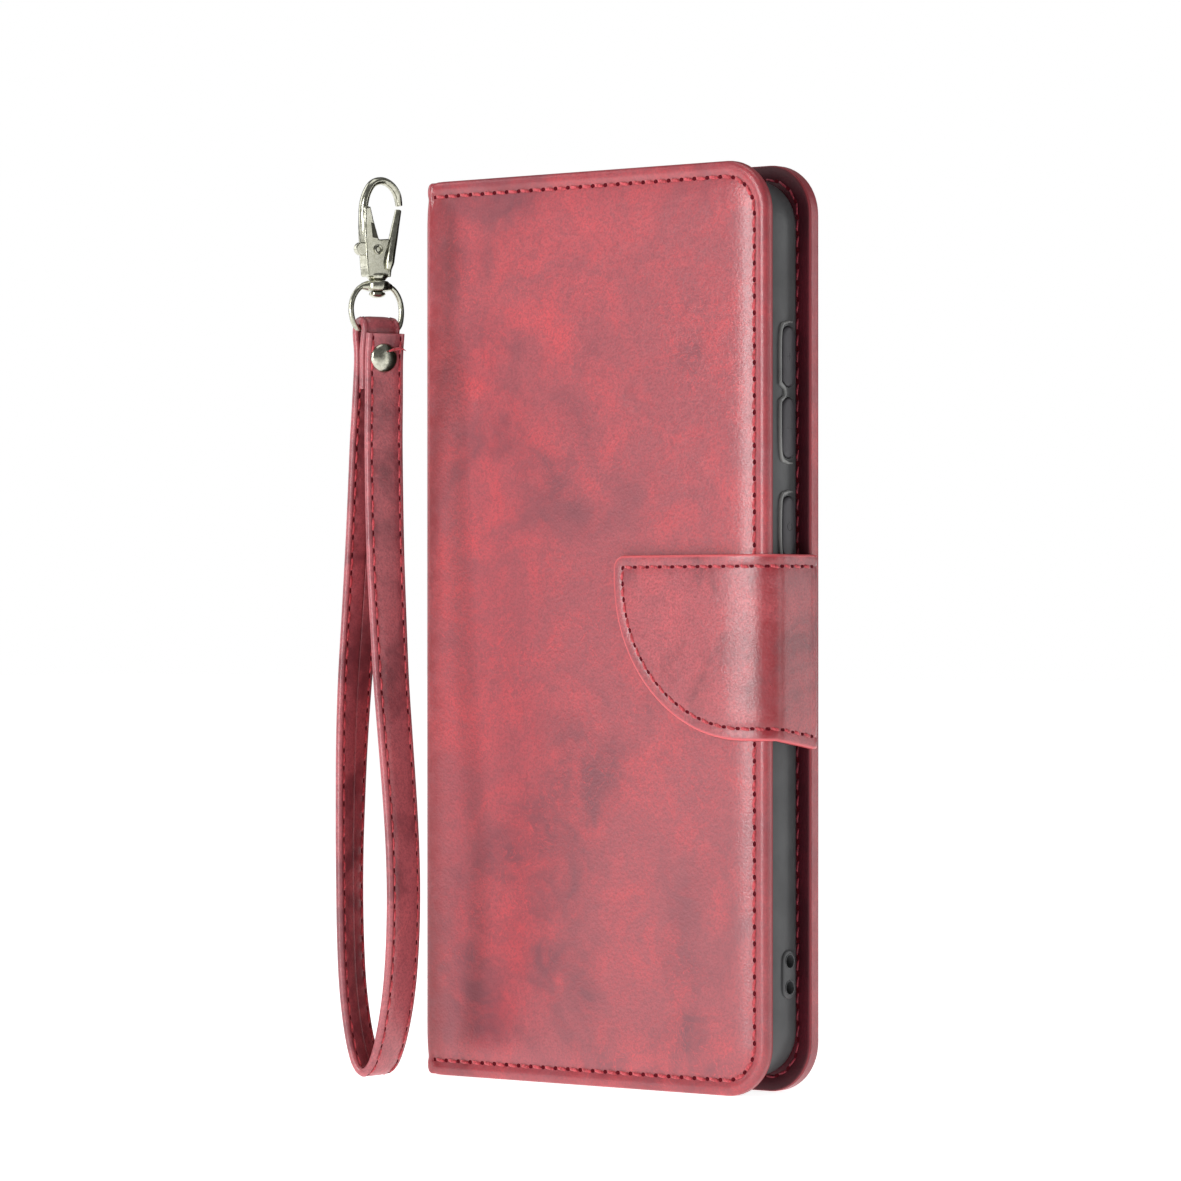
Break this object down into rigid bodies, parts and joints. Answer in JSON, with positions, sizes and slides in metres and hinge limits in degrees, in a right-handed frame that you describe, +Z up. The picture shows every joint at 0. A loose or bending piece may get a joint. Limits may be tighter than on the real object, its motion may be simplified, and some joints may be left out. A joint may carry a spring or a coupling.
{
  "type": "phone wallet case",
  "caption": "Book-style wallet case for a phone, with a rubber tray, card pockets, a magnetic closing flap and a detachable wrist strap on a snap hook.",
  "frame": {"origin": "bottom centre of the closed case's bounding box, without the loose wrist strap", "axes": "+X from the spine to the opening side, -Y out of the front cover, +Z up along the case's height"},
  "size_m": [0.0881, 0.0388, 0.17],
  "materials": {
    "red_leather": "mottled red imitation leather with a fine grain, satin",
    "cut_edge": "painted cut edge, coral red",
    "lining": "dark red imitation leather lining, fine pebble grain",
    "board": "plain grey stiffening board",
    "rubber": "dark grey moulded rubber, satin",
    "nickel": "bright nickel plate",
    "magnet": "plain plated steel"
  },
  "bodies": {
    "holder": {"back_skin": "red_leather", "back_board": "board", "back_lining": "lining", "phone_tray": "rubber", "flap_tail": "cut_edge"},
    "volume_up": {"volume_up_button": "rubber"},
    "volume_down": {"volume_down_button": "rubber"},
    "power": {"power_button": "rubber"},
    "spine": {"spine_skin": "red_leather", "spine_lining": "lining"},
    "front_cover": {"front_skin": "red_leather", "front_board": "board", "front_lining": "lining", "keeper_plate": "magnet", "cash_pocket": "lining", "card_slot_rear": "lining", "card_slot_middle": "lining", "card_slot_front": "lining"},
    "flap_side": {"flap_side_skin": "red_leather", "flap_side_lining": "lining"},
    "flap_tongue": {"tongue_skin": "red_leather", "tongue_lining": "lining", "tongue_magnet": "magnet"},
    "hook": {"hook_body": "nickel", "swivel_rivet": "nickel", "gate_pin": "nickel", "gate_spring": "nickel"},
    "gate": {"hook_gate": "nickel"},
    "ring": {"d_ring": "nickel"},
    "strap": {"wrist_strap": "red_leather", "rivet_cap": "nickel", "rivet_post": "nickel"}
  },
  "joints": [
    {"name": "spine_hinge", "type": "hinge", "parent": "holder", "child": "spine", "pos_m": [-0.0419, 0.0091, 0.085], "axis": [0, 0, -1], "range_deg": [0, 90]},
    {"name": "cover_hinge", "type": "hinge", "parent": "spine", "child": "front_cover", "pos_m": [-0.0419, -0.0073, 0.085], "axis": [0, 0, -1], "range_deg": [0, 140]},
    {"name": "flap_root_hinge", "type": "hinge", "parent": "holder", "child": "flap_side", "pos_m": [0.0419, 0.0074, 0.081], "axis": [0, 0, 1], "range_deg": [0, 170]},
    {"name": "flap_fold_hinge", "type": "hinge", "parent": "flap_side", "child": "flap_tongue", "pos_m": [0.0419, -0.0091, 0.081], "axis": [0, 0, 1], "range_deg": [0, 90]},
    {"name": "volume_up_press", "type": "slide", "parent": "holder", "child": "volume_up", "axis": [-1, 0, 0], "range_m": [0, 0.0004], "stiffness_N_per_m": 3000},
    {"name": "volume_down_press", "type": "slide", "parent": "holder", "child": "volume_down", "axis": [-1, 0, 0], "range_m": [0, 0.0004], "stiffness_N_per_m": 3000},
    {"name": "power_press", "type": "slide", "parent": "holder", "child": "power", "axis": [-1, 0, 0], "range_m": [0, 0.0004], "stiffness_N_per_m": 3000},
    {"name": "strap_lift", "type": "slide", "parent": "front_cover", "child": "hook", "axis": [0, 0, 1], "range_m": [0, 0.06]},
    {"name": "gate_hinge", "type": "hinge", "parent": "hook", "child": "gate", "pos_m": [-0.03889, -0.02477, 0.156], "axis": [0.9511, -0.309, 0], "range_deg": [0, 16], "stiffness_Nm_per_rad": 0.02, "springref_deg": -17.19},
    {"name": "hook_swivel", "type": "hinge", "parent": "hook", "child": "ring", "pos_m": [-0.0387, -0.0242, 0.1492], "axis": [0, 0, 1], "range_deg": [-180, 180]},
    {"name": "ring_pivot", "type": "hinge", "parent": "ring", "child": "strap", "pos_m": [-0.03903, -0.02409, 0.141], "axis": [0.309, 0.9511, 0], "range_deg": [-60, 60]}
  ]
}
